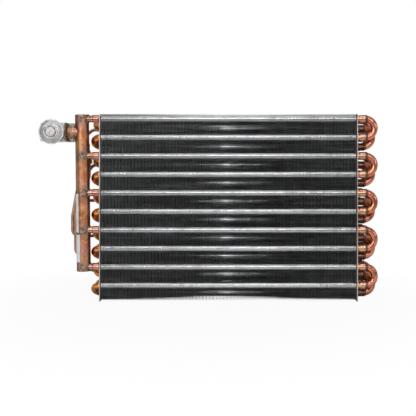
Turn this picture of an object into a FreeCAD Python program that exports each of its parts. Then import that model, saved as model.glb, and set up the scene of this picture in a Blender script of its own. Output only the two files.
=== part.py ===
import FreeCAD, Part
import math
import os
import re

import Sketcher
from FreeCAD import Placement, Rotation, Vector

# Evaporator core: a plate-fin block with four staggered columns of copper tube,
# five parallel circuits, a suction header, a distributor with five capillary
# tubes and a block-type expansion valve. Millimetres, +Z up, the face that the
# air enters looks along -Y. The origin is the bottom centre of the whole part.

# Driving dimensions
SIZES = {
    # Fin block and end plates
    "core_width": 350.4,
    "fin_height": 254.0,
    "fin_depth": 63.5,
    "fin_margin": 0.8,
    "fin_land": 0.6,
    "fin_gaps": 120,
    "fin_gap_depth": 2.7,
    "fin_gap_drop": 1.2,
    "plate_thickness": 1.3,
    "foot_drop": 2.0,
    # Tube layout
    "rows": 10,
    "columns": 4,
    "tube_radius": 4.7625,
    "tube_wall": 0.41,
    "collar_gap": 0.05,
    "plate_hole_gap": 0.2,
    # Tube ends and bends
    "bell_wall": 0.55,
    "braze_gap": 0.08,
    "bell_cone": 1.4,
    "bell_neck": 2.5,
    "bell_reach": 12.9,
    "bend_insertion": 7.0,
    "bend_setback": 1.6,
    "crossover_entry": 1.5,
    "left_bell_reach": 9.2,
    "liquid_neck_wall": 0.6,
    "liquid_neck_start": 3.5,
    "liquid_neck_cone": 3.0,
    "liquid_neck_reach": 12.0,
    # Suction header
    "header_radius": 9.525,
    "header_wall": 1.1,
    "header_offset": 23.8,
    "header_setback": 2.0,
    "header_tail": 5.35,
    "header_rise": 23.5,
    "header_lean": 0.71,
    "cap_lid": 0.6,
    "cap_bevel": 0.3,
    "stub_inset": 3.0,
    "stub_insertion": 6.0,
    # Expansion valve
    "valve_offset": 63.2,
    "valve_drop": 24.7,
    "block_width": 33.0,
    "block_depth": 47.5,
    "block_height": 25.2,
    "block_front": 12.2,
    "port_spacing": 24.0,
    "gas_passage": 6.5,
    "gas_port_radius": 8.1,
    "gas_port_depth": 12.0,
    "liquid_passage": 3.0,
    "liquid_port_radius": 5.1,
    "liquid_port_depth": 9.0,
    "stud_hole_radius": 2.6,
    "stud_hole_depth": 10.0,
    "rod_bore": 4.0,
    "adjuster_bore": 7.0,
    "adjuster_depth": 8.0,
    "rod_radius": 1.6,
    "guide_length": 2.5,
    "seat_start": 20.0,
    "seat_length": 6.0,
    "slot_width": 1.6,
    "slot_depth": 1.5,
    "running_gap": 0.05,
    # Power head
    "head_radius": 17.0,
    "head_neck_radius": 9.0,
    "head_neck": 3.0,
    "head_dish": 2.0,
    "head_rim": 2.4,
    "head_rim_width": 1.4,
    "head_dome": 3.2,
    "head_shoulder": 2.24,
    "head_groove_radius": 8.0,
    "head_groove_width": 0.9,
    "head_groove_depth": 1.8,
    "head_boss": 1.4,
    "head_boss_bevel": 1.2,
    # Pipes, flange and clamp
    "gas_pipe_radius": 7.9375,
    "gas_pipe_wall": 1.0,
    "liquid_pipe_wall": 0.8,
    "spigot": 9.5,
    "bead_radius": 8.9,
    "bead_length": 1.8,
    "collar_radius": 9.4,
    "collar_length": 2.4,
    "collar_clearance": 0.3,
    "pipe_inset": 2.5,
    "pipe_gap": 0.1,
    "ring_section": 1.0,
    "ring_gap": 0.05,
    "flange_thickness": 2.6,
    "clamp_space": 3.1,
    "clamp_thickness": 3.8,
    "clamp_end": 8.5,
    "bolt_radius": 2.5,
    "bolt_rise": 7.6,
    "bolt_head_radius": 3.9,
    "bolt_head": 4.0,
    "bolt_socket": 1.8,
    "bolt_gap": 0.1,
    "sleeve_radius": 4.6,
    # Distributor and capillaries
    "distributor_offset": 25.2,
    "distributor_drop": 15.3,
    "distributor_length": 28.0,
    "distributor_radius": 10.0,
    "distributor_inlet": 6.6,
    "distributor_cone": 9.0,
    "inlet_length": 8.0,
    "mixing_bore": 3.0,
    "capillary_radius": 2.38,
    "capillary_wall": 0.6,
    "capillary_ring": 6.0,
    "capillary_insertion": 5.0,
    "capillary_bend": 9.0,
    "liquid_bend": 13.0,
    "outer_loop_offset": 42.0,
    "outer_loop_setback": 20.0,
    "inner_loop_offset": 36.4,
    "inner_loop_setback": 13.7,
    "inner_loop_rise": 30.0,
    "riser_offset": 33.0,
    "riser_setback": 1.94,
    "lead_in": 12.0,
    # Labels
    "label_thickness": 0.15,
    "label_gap": 0.03,
    "label_wrap": 30.0,
    "upper_label_angle": 90.0,
    "upper_label_rise": 53.1,
    "upper_label_length": 52.6,
    "lower_label_angle": 100.0,
    "lower_label_rise": 12.3,
    "lower_label_length": 37.5,
}

# Places that several pieces share, worked out from the driving dimensions.
# X runs from the left end plate's outer face, Y from the front edges of the
# fins and Z from their lower edges before each is moved to the origin.
PLACES = {
    "overall_width": "core_width + 2 * plate_thickness",
    "row_pitch": "fin_height / rows",
    "column_pitch": "fin_depth / columns",
    "bend_radius": "row_pitch / 2",
    "bend_tangent": "bell_reach - bend_setback",
    "right_reach": "bend_tangent + bend_radius + tube_radius",
    "left_reach": "valve_offset + head_radius",
    "left_face": "(left_reach - right_reach - overall_width) / 2",
    "front_column": "column_pitch / 2",
    "header_depth": "front_column + header_setback",
    "head_height": "head_neck + head_dish + head_rim + head_dome + head_boss",
    "block_face": "header_depth - block_front",
    "front_reach": "head_height - block_face",
    "front": "(front_reach - fin_depth) / 2",
    "base": "foot_drop",
    "mouth_radius": "tube_radius + braze_gap",
    "bell_radius": "mouth_radius + bell_wall",
    "tube_bore": "tube_radius - tube_wall",
    "crossover_angle": "atan2(row_pitch / 2; column_pitch)",
    "crossover_radius": "sqrt(row_pitch ^ 2 / 4 + column_pitch ^ 2) / 2",
    "top_row": "fin_height - row_pitch / 4",
    "last_column": "front_column + (columns - 1) * column_pitch",
    "neck_bore": "capillary_radius + braze_gap",
    "valve_height": "fin_height - valve_drop",
    "header_bottom": "top_row - (rows - 2) * row_pitch - header_tail",
    "header_length": "valve_height + header_rise - header_bottom",
    "header_middle": "header_bottom + header_length / 2",
    "header_bore": "header_radius - header_wall",
    "header_at_valve": "header_offset + (valve_height - header_middle) * tan(header_lean)",
    "block_right": "block_width / 2 - valve_offset",
    "block_left": "-block_width / 2 - valve_offset",
    "flange_right": "block_right + flange_thickness",
    "clamp_left": "flange_right + clamp_space",
    "clamp_right": "clamp_left + clamp_thickness",
    "liquid_depth": "header_depth + port_spacing",
    "bolt_depth": "header_depth + port_spacing / 2",
    "bolt_bore": "bolt_radius + bolt_gap",
    "ring_seat": "2 * (ring_section + ring_gap)",
    "distributor_top": "valve_height - distributor_drop",
    "distributor_bottom": "distributor_top - distributor_length",
    "mouth_x": "-liquid_neck_reach",
    "outer_loop_depth": "header_depth + outer_loop_setback",
    "inner_loop_depth": "header_depth + inner_loop_setback",
    "inner_loop_bottom": "top_row - (rows - 3 / 2) * row_pitch + inner_loop_rise",
    "riser_depth": "last_column + riser_setback",
    "upper_label_bottom": "header_bottom + upper_label_rise",
    "lower_label_bottom": "header_bottom + lower_label_rise",
}

doc = FreeCAD.newDocument("evaporator_core")
sheet = doc.addObject("Spreadsheet::Sheet", "Sizes")
for row_number, (alias, number) in enumerate(SIZES.items(), start=1):
    sheet.set("A%d" % row_number, alias)
    sheet.set("B%d" % row_number, str(number))
    sheet.setAlias("B%d" % row_number, alias)
doc.recompute()

pieces = []


def expression(text):
    """Write out a formula so that every size in it points at its cell."""
    def swap(match):
        word = match.group(0)
        if word in PLACES:
            return "(" + expression(PLACES[word]) + ")"
        if word in SIZES:
            return "Sizes." + word
        return word
    return re.sub(r"[a-z][a-z_0-9]*", swap, str(text))


def value(text):
    result = sheet.evalExpression(expression(text))
    return float(getattr(result, "Value", result))


def value_count(name):
    return int(round(value(name)))


def bind(item, formulas):
    for path, text in formulas.items():
        item.setExpression(path, expression(text))


def place(item, x="0", y="0", z="0", rotation=None):
    """Put a piece at X, Y, Z measured from the plate face, fin fronts and fin feet."""
    item.Placement = Placement(Vector(0, 0, 0), rotation or Rotation())
    bind(item, {
        "Placement.Base.x": "left_face + " + x,
        "Placement.Base.y": "front + " + y,
        "Placement.Base.z": "base + " + z,
    })


def keep(item, label):
    item.Label = label
    pieces.append(item)
    return item


def new_body(name):
    return doc.addObject("PartDesign::Body", name)


def origin_feature(body, role):
    return next(item for item in body.Origin.OriginFeatures if item.Role == role)


def new_sketch(body, name, role, across=None, lift=None):
    """A sketch on one of the body's own planes, moved along its Y and its normal."""
    sketch = body.newObject("Sketcher::SketchObject", name)
    sketch.AttachmentSupport = [(origin_feature(body, role), "")]
    sketch.MapMode = "FlatFace"
    if across:
        bind(sketch, {"AttachmentOffset.Base.y": across})
    if lift:
        bind(sketch, {"AttachmentOffset.Base.z": lift})
    return sketch


def pin_point(sketch, curve, end, x, y):
    """Hold a sketch point at X, Y from the sketch's origin."""
    for kind, axis, text in (("DistanceX", -2, x), ("DistanceY", -1, y)):
        if text == "0":
            sketch.addConstraint(Sketcher.Constraint("PointOnObject", curve, end, axis))
        else:
            rule = Sketcher.Constraint(kind, -1, 1, curve, end, value(text))
            number = sketch.addConstraint(rule)
            bind(sketch, {"Constraints[%d]" % number: text})


def draw_outline(sketch, corners):
    """A closed outline of straight edges through corners given as formulas."""
    points = [Vector(value(x), value(y), 0) for x, y in corners]
    edges = []
    for first, second in zip(points, points[1:] + points[:1]):
        edges.append(sketch.addGeometry(Part.LineSegment(first, second), False))
    for first, second in zip(edges, edges[1:] + edges[:1]):
        sketch.addConstraint(Sketcher.Constraint("Coincident", first, 2, second, 1))
    for edge, (x, y) in zip(edges, corners):
        pin_point(sketch, edge, 1, x, y)


def draw_circle(sketch, radius, x="0", y="0"):
    centre = Vector(value(x), value(y), 0)
    curve = Part.Circle(centre, Vector(0, 0, 1), value(radius))
    circle = sketch.addGeometry(curve, False)
    if x == "0" and y == "0":
        sketch.addConstraint(Sketcher.Constraint("Coincident", circle, 3, -1, 1))
    else:
        pin_point(sketch, circle, 3, x, y)
    number = sketch.addConstraint(Sketcher.Constraint("Radius", circle, value(radius)))
    bind(sketch, {"Constraints[%d]" % number: radius})


def revolve(body, name, corners, across=None):
    """Turn an outline about the X direction of the body."""
    sketch = new_sketch(body, name + "_outline", "XY_Plane", across=across)
    draw_outline(sketch, corners)
    turn = body.newObject("PartDesign::Revolution", name)
    turn.Profile = sketch
    turn.ReferenceAxis = (sketch, ["H_Axis"])
    turn.Angle = 360
    return turn


def turned_piece(name, corners):
    body = new_body(name)
    revolve(body, name + "_turning", corners)
    return body


def tube_outline(start, end, outer, inner):
    return [(start, inner), (start, outer), (end, outer), (end, inner)]


# Fin block and end plates

def tube_holes(body, radius, length):
    """Bore the staggered tube pattern through a sheet or a block along X."""
    sketch = new_sketch(body, "hole_pair", "YZ_Plane")
    draw_circle(sketch, radius, "front_column", "top_row")
    draw_circle(sketch, radius, "front_column + column_pitch", "top_row - row_pitch / 2")
    bore = body.newObject("PartDesign::Pocket", "first_holes")
    bore.Profile = sketch
    bore.Midplane = True
    bind(bore, {"Length": "3 * (%s)" % length})
    down = body.newObject("PartDesign::LinearPattern", "rows_down")
    down.Direction = (sketch, ["V_Axis"])
    down.Reversed = True
    bind(down, {"Length": "(rows - 1) * row_pitch", "Occurrences": "rows"})
    back = body.newObject("PartDesign::LinearPattern", "columns_back")
    back.Direction = (sketch, ["H_Axis"])
    back.Occurrences = 2
    bind(back, {"Length": "2 * column_pitch"})
    pattern = body.newObject("PartDesign::MultiTransform", "tube_pattern")
    pattern.Originals = [bore]
    pattern.Transformations = [down, back]
    body.Tip = pattern


def sheet_block(name, length, foot, hole_radius):
    """A block of the fins' depth, centred on X, with its lower edge at foot."""
    body = new_body(name)
    outline = new_sketch(body, "side_outline", "YZ_Plane")
    draw_outline(outline, [
        ("0", foot), ("fin_depth", foot), ("fin_depth", "fin_height"), ("0", "fin_height"),
    ])
    pad = body.newObject("PartDesign::Pad", "thickness")
    pad.Profile = outline
    pad.Midplane = True
    bind(pad, {"Length": length})
    tube_holes(body, hole_radius, length)
    return body


def fin_pack():
    """All the fins as one block, open between them along its four sides."""
    length = "core_width - 2 * fin_margin"
    body = sheet_block("fin_pack", length, "0", "tube_radius + collar_gap")
    pitch = "(%s - fin_land) / fin_gaps" % length
    outline = new_sketch(body, "first_gap", "YZ_Plane",
                         lift="(%s) / 2 - (%s + fin_land) / 2" % (length, pitch))
    draw_outline(outline, [
        ("-fin_gap_depth", "-fin_gap_depth"), ("fin_depth + fin_gap_depth", "-fin_gap_depth"),
        ("fin_depth + fin_gap_depth", "fin_height + fin_gap_depth"),
        ("-fin_gap_depth", "fin_height + fin_gap_depth"),
    ])
    draw_outline(outline, [
        ("fin_gap_depth", "fin_gap_drop"), ("fin_depth - fin_gap_depth", "fin_gap_drop"),
        ("fin_depth - fin_gap_depth", "fin_height - fin_gap_drop"),
        ("fin_gap_depth", "fin_height - fin_gap_drop"),
    ])
    cut = body.newObject("PartDesign::Pocket", "fin_gap")
    cut.Profile = outline
    cut.Midplane = True
    bind(cut, {"Length": "%s - fin_land" % pitch})
    along = body.newObject("PartDesign::LinearPattern", "fin_gaps_along")
    along.Originals = [cut]
    along.Direction = (outline, ["N_Axis"])
    along.Reversed = True
    bind(along, {"Length": "(fin_gaps - 1) * (%s)" % pitch, "Occurrences": "fin_gaps"})
    body.Tip = along
    place(body, x="overall_width / 2")
    keep(body, "fin_pack")


def end_plate(name, x):
    """One end plate: it stands lower than the fins, and its holes clear the tubes."""
    body = sheet_block(name, "plate_thickness", "-foot_drop", "tube_radius + plate_hole_gap")
    place(body, x=x)
    keep(body, name)


# Tubes

def row_height(row):
    """Height of a row, counted from 1 at the top; column 2 and 4 rows end in .5."""
    return "top_row - %s * row_pitch" % (row - 1)


def column_depth(column):
    return "front_column + %d * column_pitch" % (column - 1)


def bell_outline(start):
    """The widened right end of a tube, from where its neck ends."""
    cone = "overall_width + bell_neck + bell_cone"
    rim = "overall_width + bell_reach"
    return [
        (start, "tube_radius"), (cone, "bell_radius"), (rim, "bell_radius"),
        (rim, "mouth_radius"), (cone, "mouth_radius"), (start, "tube_bore"),
    ]


def straight_tube(name, row, column, left_end):
    """A tube that opens at both ends; left_end holds its two left corners a side."""
    outer_left, inner_left = left_end
    bell = bell_outline("overall_width + bell_neck")
    body = turned_piece(name, outer_left + bell + inner_left)
    place(body, y=column_depth(column), z=row_height(row))
    keep(body, name)


SUCTION_END = (
    [("-left_bell_reach", "bell_radius"), ("-bell_cone", "bell_radius"),
     ("0", "tube_radius")],
    [("0", "tube_bore"), ("-bell_cone", "mouth_radius"),
     ("-left_bell_reach", "mouth_radius")],
)
NECK_CONE_END = "-liquid_neck_start - liquid_neck_cone"
LIQUID_END = (
    [("mouth_x", "neck_bore + liquid_neck_wall"),
     (NECK_CONE_END, "neck_bore + liquid_neck_wall"),
     ("-liquid_neck_start", "tube_radius")],
    [("-liquid_neck_start", "tube_bore"), (NECK_CONE_END, "neck_bore"),
     ("mouth_x", "neck_bore")],
)


def u_tube(body, role, start, tangent, radius, side):
    """A U of tube: two legs along X joined by a half circle on the given side."""
    path = new_sketch(body, "centre_line", role)
    near, far = value(start), value(tangent)
    bend = value(radius)
    turn = (-math.pi / 2, math.pi / 2) if side > 0 else (math.pi / 2, 3 * math.pi / 2)
    first_end, second_end = (1, 2) if side > 0 else (2, 1)
    lower = Part.LineSegment(Vector(near, 0, 0), Vector(far, 0, 0))
    circle = Part.Circle(Vector(far, bend, 0), Vector(0, 0, 1), bend)
    upper = Part.LineSegment(Vector(far, 2 * bend, 0), Vector(near, 2 * bend, 0))
    path.addGeometry(lower, False)
    path.addGeometry(Part.ArcOfCircle(circle, *turn), False)
    path.addGeometry(upper, False)
    pin_point(path, 0, 1, start, "0")
    pin_point(path, 0, 2, tangent, "0")
    path.addConstraint(Sketcher.Constraint("Tangent", 0, 2, 1, first_end))
    path.addConstraint(Sketcher.Constraint("Tangent", 1, second_end, 2, 1))
    path.addConstraint(Sketcher.Constraint("Horizontal", 2))
    size = path.addConstraint(Sketcher.Constraint("Radius", 1, bend))
    reach = Sketcher.Constraint("DistanceX", -1, 1, 2, 2, near)
    end = path.addConstraint(reach)
    bind(path, {"Constraints[%d]" % size: radius, "Constraints[%d]" % end: start})
    section = new_sketch(body, "tube_section", "YZ_Plane", lift=start)
    draw_circle(section, "tube_radius")
    draw_circle(section, "tube_bore")
    pipe = body.newObject("PartDesign::AdditivePipe", "bent_tube")
    pipe.Profile = section
    pipe.Spine = (path, ["Edge1", "Edge2", "Edge3"])
    return pipe


def hairpin(name, row, column, rise):
    """One tube bent at the left, from a column to the next one behind it."""
    body = new_body(name)
    neck = "overall_width + bell_neck"
    u_tube(body, "XY_Plane", neck, "crossover_entry", "crossover_radius", -1)
    revolve(body, "first_bell", bell_outline(neck))
    revolve(body, "second_bell", bell_outline(neck), across="2 * crossover_radius")
    place(body, y=column_depth(column), z=row_height(row),
          rotation=Rotation(Vector(rise, 0, 0), value("crossover_angle")))
    bind(body, {"Placement.Rotation.Angle": "crossover_angle"})
    keep(body, name)


def return_bend(name, row, column):
    """One U bend brazed into the belled ends of a row and the row below it."""
    body = new_body(name)
    tangent = "overall_width + bend_tangent"
    start = "%s - bend_insertion" % tangent
    u_tube(body, "XY_Plane", start, tangent, "bend_radius", 1)
    place(body, y=column_depth(column), z=row_height(row + 1),
          rotation=Rotation(Vector(1, 0, 0), 90))
    return body


def group(name, members):
    compound = doc.addObject("Part::Compound", name)
    compound.Links = members
    keep(compound, name)


def circuits():
    """Five circuits, each a path of eight rows from the liquid to the gas side."""
    for number in range(1, value_count("rows") // 2 + 1):
        row = 2 * number - 1
        straight_tube("suction_tube_%d" % number, row, 1, SUCTION_END)
        hairpin("hairpin_front_%d" % number, row + 1, 1, -1)
        hairpin("hairpin_middle_%d" % number, row + 0.5, 2, 1)
        hairpin("hairpin_rear_%d" % number, row + 1, 3, -1)
        straight_tube("liquid_tube_%d" % number, row + 0.5, 4, LIQUID_END)
        bends = []
        for column, top in ((1, row), (2, row + 0.5), (3, row), (4, row + 0.5)):
            bends.append(return_bend("bend_%d_%d" % (number, column), top, column))
        group("return_bends_%d" % number, bends)


# Part workbench pieces

def box(name, x, y, z, length, width, height):
    item = doc.addObject("Part::Box", name)
    bind(item, {"Length": length, "Width": width, "Height": height})
    place(item, x, y, z)
    return item


ALONG = {
    "x": Rotation(Vector(0, 1, 0), 90),
    "y": Rotation(Vector(1, 0, 0), -90),
    "z": Rotation(),
}


def rod(name, axis, radius, length, x, y, z):
    """A plain cylinder that starts at X, Y, Z and runs along the given axis."""
    item = doc.addObject("Part::Cylinder", name)
    bind(item, {"Radius": radius, "Height": length})
    place(item, x, y, z, ALONG[axis])
    return item


def cut(name, base, tools):
    """Take every tool away from the base."""
    if len(tools) == 1:
        tool = tools[0]
    else:
        tool = doc.addObject("Part::MultiFuse", name + "_tools")
        tool.Shapes = tools
    item = doc.addObject("Part::Cut", name)
    item.Base = base
    item.Tool = tool
    return item


# Suction header

UPRIGHT = Vector(0, -1, 0)


def lean(body, height):
    """Stand a turned piece on the header's leaning axis, its X end up."""
    place(body, y="header_depth", z=height, rotation=Rotation(UPRIGHT, 90))
    bind(body, {
        "Placement.Rotation.Angle": "90 + header_lean",
        "Placement.Base.x":
            "left_face - header_offset - (%s - header_middle) * tan(header_lean)" % height,
    })


def header_axis(height):
    return "(-header_offset - (%s - header_middle) * tan(header_lean))" % height


def header():
    length = "header_length / cos(header_lean)"
    blank = turned_piece("header_tube", tube_outline("0", length, "header_radius",
                                                     "header_bore"))
    lean(blank, "header_bottom")
    holes = []
    for number in range(1, value_count("rows") // 2 + 1):
        height = row_height(2 * number - 1)
        holes.append(rod("stub_hole_%d" % number, "x", "tube_radius + braze_gap",
                         "header_radius", header_axis(height) + " + stub_inset - braze_gap",
                         "front_column", height))
    outlet = "-header_at_valve - pipe_inset - header_radius"
    holes.append(rod("outlet_hole", "x", "gas_pipe_radius + braze_gap",
                     "header_radius + braze_gap", outlet, "header_depth", "valve_height"))
    keep(cut("suction_header", blank, holes), "suction_header")
    cap = [
        ("0", "0"), ("0", "header_radius"), ("cap_lid - cap_bevel", "header_radius"),
        ("cap_lid", "header_radius - cap_bevel"), ("cap_lid", "0"),
    ]
    top = turned_piece("header_cap_top", cap)
    lean(top, "(header_bottom + header_length)")
    keep(top, "header_cap_top")
    flipped = [("-(%s)" % x if x != "0" else x, y) for x, y in cap]
    bottom = turned_piece("header_cap_bottom", flipped)
    lean(bottom, "header_bottom")
    keep(bottom, "header_cap_bottom")


def header_stubs():
    """Short tubes from the header into the belled ends of the suction tubes."""
    for number in range(1, value_count("rows") // 2 + 1):
        height = row_height(2 * number - 1)
        start = header_axis(height) + " + stub_inset"
        end = "stub_insertion - left_bell_reach"
        body = turned_piece("header_stub_%d" % number,
                            tube_outline(start, end, "tube_radius", "tube_bore"))
        place(body, y="front_column", z=height)
        keep(body, "header_stub_%d" % number)


def label(name, angle, bottom, length):
    """A blank label wrapped round the header's left side."""
    skin = "header_radius + label_gap"
    outer = doc.addObject("Part::Cylinder", name + "_outside")
    inner = doc.addObject("Part::Cylinder", name + "_inside")
    for item, radius in ((outer, skin + " + label_thickness"), (inner, skin)):
        bind(item, {"Radius": radius, "Height": length, "Angle": angle,
                    "Placement.Rotation.Angle": "180 - label_wrap"})
    skin_cut = cut(name, outer, [inner])
    place(skin_cut, header_axis(bottom), "header_depth", bottom, Rotation(UPRIGHT, 1))
    bind(skin_cut, {"Placement.Rotation.Angle": "header_lean"})
    keep(skin_cut, name)


# Expansion valve

def valve_block():
    block = box("block_blank", "block_left", "block_face", "valve_height - block_height / 2",
                "block_width", "block_depth", "block_height")
    gas = "header_depth"
    liquid = "liquid_depth"
    seat_gap = "ring_section * 2 + ring_gap"
    tools = [
        rod("gas_way", "x", "gas_passage", "block_width", "block_left", gas, "valve_height"),
        rod("gas_port", "x", "gas_port_radius", "gas_port_depth", "block_left", gas,
            "valve_height"),
        rod("gas_socket", "x", "gas_pipe_radius + pipe_gap", "spigot + pipe_gap",
            "block_right - spigot - pipe_gap", gas, "valve_height"),
        rod("gas_ring_seat", "x", "gas_pipe_radius + " + seat_gap, "ring_seat",
            "block_right - ring_seat", gas, "valve_height"),
        rod("liquid_way", "x", "liquid_passage", "block_width", "block_left", liquid,
            "valve_height"),
        rod("liquid_port", "x", "liquid_port_radius", "liquid_port_depth", "block_left",
            liquid, "valve_height"),
        rod("liquid_socket", "x", "tube_radius + pipe_gap", "spigot + pipe_gap",
            "block_right - spigot - pipe_gap", liquid, "valve_height"),
        rod("liquid_ring_seat", "x", "tube_radius + " + seat_gap, "ring_seat",
            "block_right - ring_seat", liquid, "valve_height"),
        rod("stud_hole", "x", "stud_hole_radius", "stud_hole_depth", "block_left",
            "bolt_depth", "valve_height"),
        rod("rod_way", "y", "rod_bore", "block_depth", "-valve_offset", "block_face",
            "valve_height"),
        rod("adjuster_way", "y", "adjuster_bore", "adjuster_depth", "-valve_offset",
            "block_face + block_depth - adjuster_depth", "valve_height"),
    ]
    for side, height in (("upper", "valve_height + bolt_rise"),
                         ("lower", "valve_height - bolt_rise")):
        tools.append(rod(side + "_bolt_way", "x", "bolt_bore", "block_width", "block_left",
                         "bolt_depth", height))
        tools.append(rod(side + "_head_seat", "x", "bolt_head_radius + bolt_gap",
                         "bolt_head", "block_left", "bolt_depth", height))
    keep(cut("valve_block", block, tools), "valve_block")


def metering_cartridge():
    """The sensing rod, its guide, the valve seat and the adjuster in one turning."""
    guide = "rod_bore - running_gap"
    cover = "adjuster_bore - running_gap"
    seat_end = "seat_start + seat_length"
    shoulder = "block_depth - adjuster_depth + running_gap"
    body = turned_piece("metering_cartridge", [
        ("0", "0"), ("0", guide), ("guide_length", guide), ("guide_length", "rod_radius"),
        ("seat_start", "rod_radius"), ("seat_start", guide), (seat_end, guide),
        (seat_end, "rod_radius"), (shoulder, "rod_radius"), (shoulder, cover),
        ("block_depth", cover), ("block_depth", "0"),
    ])
    slot = new_sketch(body, "driver_slot", "XY_Plane")
    draw_outline(slot, [
        ("block_depth - slot_depth", "-slot_width / 2"), ("2 * block_depth", "-slot_width / 2"),
        ("2 * block_depth", "slot_width / 2"), ("block_depth - slot_depth", "slot_width / 2"),
    ])
    groove = body.newObject("PartDesign::Pocket", "driver_groove")
    groove.Profile = slot
    groove.Midplane = True
    bind(groove, {"Length": "3 * adjuster_bore"})
    place(body, "-valve_offset", "block_face", "valve_height", Rotation(Vector(0, 0, 1), 90))
    keep(body, "metering_cartridge")


def power_head():
    """The pressed diaphragm housing that screws on the front of the block."""
    dish = "head_neck + head_dish"
    rim = "head_neck + head_dish + head_rim"
    crown = "head_neck + head_dish + head_rim + head_dome"
    inner = "head_groove_radius - head_groove_width"
    body = turned_piece("power_head", [
        ("0", "0"), ("0", "head_neck_radius"), ("head_neck", "head_neck_radius"),
        (dish, "head_radius - head_rim_width"), (dish, "head_radius"), (rim, "head_radius"),
        (rim, "head_radius - head_rim_width"),
        (rim + " + head_shoulder", "(head_radius + head_groove_radius) / 2"),
        (crown, "head_groove_radius + head_groove_width"), (crown, "head_groove_radius"),
        (crown + " - head_groove_depth", "head_groove_radius"),
        (crown + " - head_groove_depth", inner),
        (crown + " + head_boss - head_boss_bevel", inner),
        (crown + " + head_boss", inner + " - head_boss_bevel"),
        (crown + " + head_boss", "0"),
    ])
    place(body, "-valve_offset", "block_face", "valve_height", Rotation(Vector(0, 0, 1), -90))
    keep(body, "power_head")


def pipe_rings():
    """One sealing ring round each pipe, in its seat in the block's right face."""
    rings = []
    for side, radius, depth in (("gas", "gas_pipe_radius", "header_depth"),
                                ("liquid", "tube_radius", "liquid_depth")):
        ring = doc.addObject("Part::Torus", side + "_ring")
        bind(ring, {"Radius1": radius + " + ring_section + ring_gap", "Radius2": "ring_section"})
        place(ring, "block_right - ring_section - ring_gap", depth, "valve_height", ALONG["x"])
        rings.append(ring)
    group("sealing_rings", rings)


def flange_and_clamp():
    """The flange against the block, the clamp plate, its sleeves and its bolts."""
    low = "valve_height - block_height / 2"
    gas = "gas_pipe_radius + pipe_gap"
    liquid = "tube_radius + pipe_gap"
    plates = (
        ("port_flange", "block_right", "block_face", "flange_thickness", "block_depth"),
        ("clamp_plate", "clamp_left", "header_depth", "clamp_thickness",
         "port_spacing + clamp_end"),
    )
    for name, left, front_edge, thickness, depth in plates:
        blank = box(name + "_blank", left, front_edge, low, thickness, depth, "block_height")
        tools = [
            rod(name + "_gas_hole", "x", gas, thickness, left, "header_depth",
                "valve_height"),
            rod(name + "_liquid_hole", "x", liquid, thickness, left, "liquid_depth",
                "valve_height"),
        ]
        for side, height in (("upper", "valve_height + bolt_rise"),
                             ("lower", "valve_height - bolt_rise")):
            tools.append(rod(name + "_bolt_hole_" + side, "x", "bolt_bore", thickness, left,
                             "bolt_depth", height))
        keep(cut(name, blank, tools), name)
    bolts, sleeves = [], []
    for side, height in (("upper", "valve_height + bolt_rise"),
                         ("lower", "valve_height - bolt_rise")):
        length = "clamp_right - block_left"
        bolt = turned_piece("clamp_bolt_" + side, [
            ("bolt_head / 2", "0"), ("bolt_head / 2", "bolt_socket"), ("0", "bolt_socket"),
            ("0", "bolt_head_radius"), ("bolt_head", "bolt_head_radius"),
            ("bolt_head", "bolt_radius"), (length, "bolt_radius"), (length, "0"),
        ])
        place(bolt, "block_left", "bolt_depth", height)
        bolts.append(bolt)
        sleeve = turned_piece("clamp_sleeve_" + side, tube_outline(
            "0", "clamp_space", "sleeve_radius", "bolt_bore"))
        place(sleeve, "flange_right", "bolt_depth", height)
        sleeves.append(sleeve)
    group("clamp_bolts", bolts)
    group("clamp_sleeves", sleeves)


def suction_pipe():
    """The gas pipe from the header into the block, with its bead and its collar."""
    start = "block_right - spigot"
    collar_end = "-header_at_valve - header_radius - collar_clearance"
    collar_start = collar_end + " - collar_length"
    bead_start = "clamp_left - bead_length - running_gap"
    bead_end = "clamp_left - running_gap"
    end = "-header_at_valve - pipe_inset"
    outer = "gas_pipe_radius"
    inner = "gas_pipe_radius - gas_pipe_wall"
    body = turned_piece("suction_pipe", [
        (start, inner), (start, outer), (bead_start, outer), (bead_start, "bead_radius"),
        (bead_end, "bead_radius"), (bead_end, outer), (collar_start, outer),
        (collar_start, "collar_radius"), (collar_end, "collar_radius"), (collar_end, outer),
        (end, outer), (end, inner),
    ])
    place(body, "0", "header_depth", "valve_height")
    keep(body, "suction_pipe")


# Liquid side

def route(points, bend):
    """A wire of straight runs joined by arcs, as large as bend and the runs allow."""
    edges = []
    start = points[0]
    for before, corner, after in zip(points, points[1:], points[2:]):
        first, second = corner - before, after - corner
        half = math.tan(first.getAngle(second) / 2)
        radius = min(bend, 0.45 * min(first.Length, second.Length) / half)
        inward = Vector(first).normalize()
        outward = Vector(second).normalize()
        enter = corner - inward * radius * half
        leave = corner + outward * radius * half
        middle = corner + (outward - inward).normalize() * radius * (
            math.sqrt(1 + half * half) - 1)
        edges.append(Part.LineSegment(start, enter).toShape())
        edges.append(Part.Arc(enter, middle, leave).toShape())
        start = leave
    edges.append(Part.LineSegment(start, points[-1]).toShape())
    return Part.Wire(edges)


def swept_tube(name, points, bend, outer, inner):
    """A tube along a route; its Shape is set because the route turns in space."""
    wire = route(points, bend)
    direction = points[1] - points[0]
    solids = []
    for radius in (outer, inner):
        circle = Part.Wire(Part.makeCircle(radius, points[0], direction))
        solids.append(wire.makePipeShell([circle], True, True))
    item = doc.addObject("Part::Feature", name)
    item.Shape = solids[0].cut(solids[1])
    item.Placement = Placement(Vector(0, 0, 0), Rotation())
    keep(item, name)
    expected = math.pi * (outer ** 2 - inner ** 2) * wire.Length
    if abs(item.Shape.Volume - expected) > 0.01 * expected:
        raise ValueError("%s: volume %.1f, expected %.1f" % (name, item.Shape.Volume, expected))


def at(x, y, z):
    """A point from formulas, in the part's frame."""
    return Vector(value("left_face + " + x), value("front + " + y), value("base + " + z))


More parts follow.
